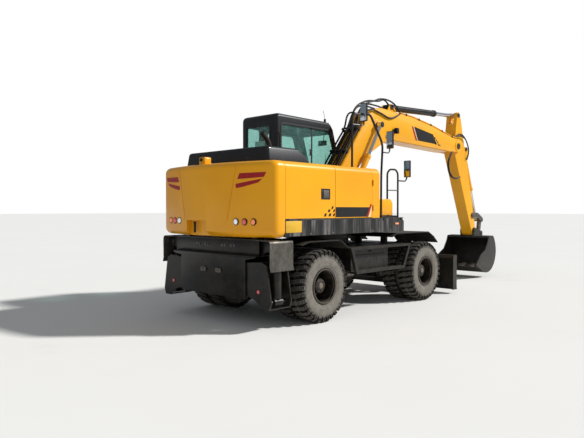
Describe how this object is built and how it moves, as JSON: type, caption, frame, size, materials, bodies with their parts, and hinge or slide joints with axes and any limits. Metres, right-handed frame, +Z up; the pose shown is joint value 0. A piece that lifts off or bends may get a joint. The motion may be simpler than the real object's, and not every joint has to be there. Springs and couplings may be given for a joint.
{
  "type": "wheeled excavator",
  "caption": "Wheeled excavator: twin-tyred axles, front blade, rear outriggers, slewing house with cab, one-piece boom, arm and bucket with linked cylinders.",
  "frame": {"origin": "on the ground, below the slewing axis", "axes": "+X forward, +Y left, +Z up"},
  "size_m": [8.7776, 2.54, 3.9343],
  "materials": {
    "paint_yellow": "satin",
    "paint_black": "satin",
    "tyre": "matte",
    "rim": "worn satin",
    "chrome": "polished",
    "glass": "gloss",
    "engine_block": "matte",
    "seat": "matte",
    "worn_steel": "worn",
    "tool_steel": "worn satin"
  },
  "bodies": {
    "undercarriage": {"chassis_frame": "paint_black", "drive_shafts": "paint_black", "rear_axle": "paint_black", "front_axle": "paint_black", "fenders_steps": "paint_black", "outrigger_carrier": "paint_black"},
    "knuckle_left": {"knuckle_left": "paint_black"},
    "knuckle_right": {"knuckle_right": "paint_black"},
    "tie_rod": {"tie_rod": "worn_steel"},
    "steer_rod": {"steer_rod": "worn_steel"},
    "wheels_front_left": {"rims_front_left": "rim", "tyres_front_left": "tyre"},
    "wheels_front_right": {"rims_front_right": "rim", "tyres_front_right": "tyre"},
    "wheels_rear_left": {"rims_rear_left": "rim", "tyres_rear_left": "tyre"},
    "wheels_rear_right": {"rims_rear_right": "rim", "tyres_rear_right": "tyre"},
    "outrigger_arm_left": {"outrigger_arm_left": "paint_black"},
    "outrigger_barrel_left": {"outrigger_barrel_left": "paint_black"},
    "outrigger_rod_left": {"outrigger_rod_left": "chrome"},
    "outrigger_arm_right": {"outrigger_arm_right": "paint_black"},
    "outrigger_barrel_right": {"outrigger_barrel_right": "paint_black"},
    "outrigger_rod_right": {"outrigger_rod_right": "chrome"},
    "blade_lower_arms": {"blade_lower_arms": "paint_black"},
    "blade_upper_links": {"blade_upper_links": "paint_black"},
    "blade": {"blade": "paint_black"},
    "blade_barrels": {"blade_barrels": "paint_black"},
    "blade_rods": {"blade_rods": "chrome"},
    "house": {"house_frame": "paint_black", "counterweight": "paint_yellow", "engine": "engine_block", "body_panels": "paint_yellow", "cab_shell": "paint_black", "cab_glass": "glass", "cab_seat": "seat", "deck_fittings": "paint_black", "rails_mirrors": "paint_black"},
    "hood_lid": {"hood_lid": "paint_black"},
    "door_right_rear": {"door_right_rear": "paint_yellow"},
    "door_right_front": {"door_right_front": "paint_yellow"},
    "door_left": {"door_left": "paint_yellow"},
    "cab_door": {"cab_door": "paint_black", "cab_door_glass": "glass"},
    "boom": {"boom": "paint_yellow"},
    "boom_barrels": {"boom_barrels": "paint_yellow"},
    "boom_rods": {"boom_rods": "chrome"},
    "arm": {"arm": "paint_yellow"},
    "arm_barrel": {"arm_barrel": "paint_black"},
    "arm_rod": {"arm_rod": "chrome"},
    "bucket_barrel": {"bucket_barrel": "paint_yellow"},
    "bucket_rod": {"bucket_rod": "chrome"},
    "rocker": {"rocker": "worn_steel"},
    "bucket_link": {"bucket_link": "worn_steel"},
    "bucket": {"bucket": "tool_steel"}
  },
  "joints": [
    {"name": "slew", "type": "hinge", "parent": "undercarriage", "child": "house", "pos_m": [0, 0, 1.2205], "axis": [0, 0, 1], "continuous": true},
    {"name": "wheels_front_left_spin", "type": "hinge", "parent": "knuckle_left", "child": "wheels_front_left", "pos_m": [1.575, 0.97, 0.5291], "axis": [0, 1, 0], "continuous": true},
    {"name": "wheels_front_right_spin", "type": "hinge", "parent": "knuckle_right", "child": "wheels_front_right", "pos_m": [1.575, -0.97, 0.5291], "axis": [0, 1, 0], "continuous": true},
    {"name": "wheels_rear_left_spin", "type": "hinge", "parent": "undercarriage", "child": "wheels_rear_left", "pos_m": [-1.275, 0.97, 0.5291], "axis": [0, 1, 0], "continuous": true},
    {"name": "wheels_rear_right_spin", "type": "hinge", "parent": "undercarriage", "child": "wheels_rear_right", "pos_m": [-1.275, -0.97, 0.5291], "axis": [0, 1, 0], "continuous": true},
    {"name": "steering", "type": "hinge", "parent": "undercarriage", "child": "knuckle_left", "pos_m": [1.575, 0.69, 0.5291], "axis": [0, 0, 1], "range_deg": [-25, 25]},
    {"name": "steering_right", "type": "hinge", "parent": "undercarriage", "child": "knuckle_right", "pos_m": [1.575, -0.69, 0.5291], "axis": [0, 0, 1], "range_deg": [-25.2, 25.2]},
    {"name": "tie_rod_turn", "type": "hinge", "parent": "knuckle_left", "child": "tie_rod", "pos_m": [1.455, 0.69, 0.5291], "axis": [0, 0, 1], "range_deg": [-25.2, 25.2]},
    {"name": "steering_rod", "type": "slide", "parent": "undercarriage", "child": "steer_rod", "axis": [0, 1, 0], "range_m": [-0.052, 0.052]},
    {"name": "outrigger_left", "type": "hinge", "parent": "undercarriage", "child": "outrigger_arm_left", "pos_m": [-2.1375, 0.17, 0.77], "axis": [-1, 0, 0], "range_deg": [0, 30]},
    {"name": "outrigger_left_barrel", "type": "hinge", "parent": "outrigger_arm_left", "child": "outrigger_barrel_left", "pos_m": [-2.1375, 1.1, 0.385], "axis": [-1, 0, 0], "range_deg": [-15.11, 0.2]},
    {"name": "outrigger_left_rod", "type": "slide", "parent": "outrigger_barrel_left", "child": "outrigger_rod_left", "axis": [0, 0, 1], "range_m": [-0.003, 0.4654]},
    {"name": "outrigger_right", "type": "hinge", "parent": "undercarriage", "child": "outrigger_arm_right", "pos_m": [-2.1375, -0.17, 0.77], "axis": [1, 0, 0], "range_deg": [0, 30]},
    {"name": "outrigger_right_barrel", "type": "hinge", "parent": "outrigger_arm_right", "child": "outrigger_barrel_right", "pos_m": [-2.1375, -1.1, 0.385], "axis": [1, 0, 0], "range_deg": [-15.11, 0.2]},
    {"name": "outrigger_right_rod", "type": "slide", "parent": "outrigger_barrel_right", "child": "outrigger_rod_right", "axis": [0, 0, 1], "range_m": [-0.003, 0.4654]},
    {"name": "blade_lift", "type": "hinge", "parent": "undercarriage", "child": "blade_lower_arms", "pos_m": [2.065, 0, 0.33], "axis": [0, -1, 0], "range_deg": [-14, 27]},
    {"name": "blade_upper", "type": "hinge", "parent": "undercarriage", "child": "blade_upper_links", "pos_m": [2.065, 0, 0.59], "axis": [0, -1, 0], "range_deg": [-14.2, 27.2]},
    {"name": "blade_level", "type": "hinge", "parent": "blade_lower_arms", "child": "blade", "pos_m": [2.54, 0, 0.33], "axis": [0, -1, 0], "range_deg": [-27.2, 14.2]},
    {"name": "blade_barrels_turn", "type": "hinge", "parent": "undercarriage", "child": "blade_barrels", "pos_m": [2.065, 0, 0.9], "axis": [0, -1, 0], "range_deg": [-8.75, 16.69]},
    {"name": "blade_rods_slide", "type": "slide", "parent": "blade_barrels", "child": "blade_rods", "axis": [0.751, 0, -0.6603], "range_m": [-0.1589, 0.0843]},
    {"name": "boom_lift", "type": "hinge", "parent": "house", "child": "boom", "pos_m": [0.17, 0, 1.86], "axis": [0, -1, 0], "range_deg": [-45, 48]},
    {"name": "boom_barrels_turn", "type": "hinge", "parent": "house", "child": "boom_barrels", "pos_m": [0.5, 0, 1.66], "axis": [0, -1, 0], "range_deg": [-46.18, 49.24]},
    {"name": "boom_rods_slide", "type": "slide", "parent": "boom_barrels", "child": "boom_rods", "axis": [0.5487, 0, 0.836], "range_m": [-0.2744, 0.2924]},
    {"name": "arm_swing", "type": "hinge", "parent": "boom", "child": "arm", "pos_m": [4.87, 0, 3.12], "axis": [0, 1, 0], "range_deg": [-46, 64]},
    {"name": "arm_barrel_turn", "type": "hinge", "parent": "boom", "child": "arm_barrel", "pos_m": [2.2, 0, 3.7], "axis": [0, 1, 0], "range_deg": [-4.1, 5.63]},
    {"name": "arm_rod_slide", "type": "slide", "parent": "arm_barrel", "child": "arm_rod", "axis": [0.9984, 0, 0.0571], "range_m": [-0.5167, 0.7173]},
    {"name": "bucket_swing", "type": "hinge", "parent": "arm", "child": "bucket", "pos_m": [5.8113, 0, 1.11054], "axis": [0, 1, 0], "range_deg": [-78, 60]},
    {"name": "rocker_turn", "type": "hinge", "parent": "arm", "child": "rocker", "pos_m": [5.73794, 0, 1.49581], "axis": [0, 1, 0], "range_deg": [-48.52, 37.37]},
    {"name": "bucket_link_turn", "type": "hinge", "parent": "rocker", "child": "bucket_link", "pos_m": [6.21967, 0, 1.38193], "axis": [0, 1, 0], "range_deg": [-41.14, 53.43]},
    {"name": "bucket_barrel_turn", "type": "hinge", "parent": "arm", "child": "bucket_barrel", "pos_m": [5.491, 0, 3.10501], "axis": [0, 1, 0], "range_deg": [-6.81, 5.29]},
    {"name": "bucket_rod_slide", "type": "slide", "parent": "bucket_barrel", "child": "bucket_rod", "axis": [0.3895, 0, -0.921], "range_m": [-0.3398, 0.2623]},
    {"name": "door_right_rear_hinge", "type": "hinge", "parent": "house", "child": "door_right_rear", "pos_m": [-2.116, -1.262, 1.9], "axis": [0, 0, -1], "range_deg": [0, 100]},
    {"name": "door_right_front_hinge", "type": "hinge", "parent": "house", "child": "door_right_front", "pos_m": [-0.109, -1.262, 1.9], "axis": [0, 0, 1], "range_deg": [0, 100]},
    {"name": "door_left_hinge", "type": "hinge", "parent": "house", "child": "door_left", "pos_m": [-2.116, 1.262, 1.9], "axis": [0, 0, 1], "range_deg": [0, 100]},
    {"name": "cab_door_hinge", "type": "hinge", "parent": "house", "child": "cab_door", "pos_m": [-0.135, 1.262, 2.2], "axis": [0, 0, 1], "range_deg": [0, 100]},
    {"name": "hood_lid_hinge", "type": "hinge", "parent": "house", "child": "hood_lid", "pos_m": [-2.046, 0, 2.296], "axis": [0, -1, 0], "range_deg": [0, 55]}
  ],
  "couplings": [
    {"joint": "steering_right", "follows": "steering", "ratio": 1},
    {"joint": "tie_rod_turn", "follows": "steering", "ratio": -1},
    {"joint": "steering_rod", "follows": "steering", "m_per_rad": -0.1163},
    {"joint": "outrigger_left_barrel", "follows": "outrigger_left", "ratio": -0.49352},
    {"joint": "outrigger_left_rod", "follows": "outrigger_left", "m_per_rad": 0.88128},
    {"joint": "outrigger_right_barrel", "follows": "outrigger_right", "ratio": -0.49352},
    {"joint": "outrigger_right_rod", "follows": "outrigger_right", "m_per_rad": 0.88128},
    {"joint": "blade_upper", "follows": "blade_lift", "ratio": 1},
    {"joint": "blade_level", "follows": "blade_lift", "ratio": -1},
    {"joint": "blade_barrels_turn", "follows": "blade_lift", "ratio": 0.59869},
    {"joint": "blade_rods_slide", "follows": "blade_lift", "m_per_rad": -0.32862},
    {"joint": "boom_barrels_turn", "follows": "boom_lift", "ratio": 1.0017},
    {"joint": "boom_rods_slide", "follows": "boom_lift", "m_per_rad": 0.34426},
    {"joint": "arm_barrel_turn", "follows": "arm_swing", "ratio": 0.08314},
    {"joint": "arm_rod_slide", "follows": "arm_swing", "m_per_rad": 0.63856},
    {"joint": "rocker_turn", "follows": "bucket_swing", "ratio": 0.6074},
    {"joint": "bucket_link_turn", "follows": "bucket_swing", "ratio": -0.669},
    {"joint": "bucket_barrel_turn", "follows": "bucket_swing", "ratio": 0.0831},
    {"joint": "bucket_rod_slide", "follows": "bucket_swing", "m_per_rad": 0.2467}
  ]
}
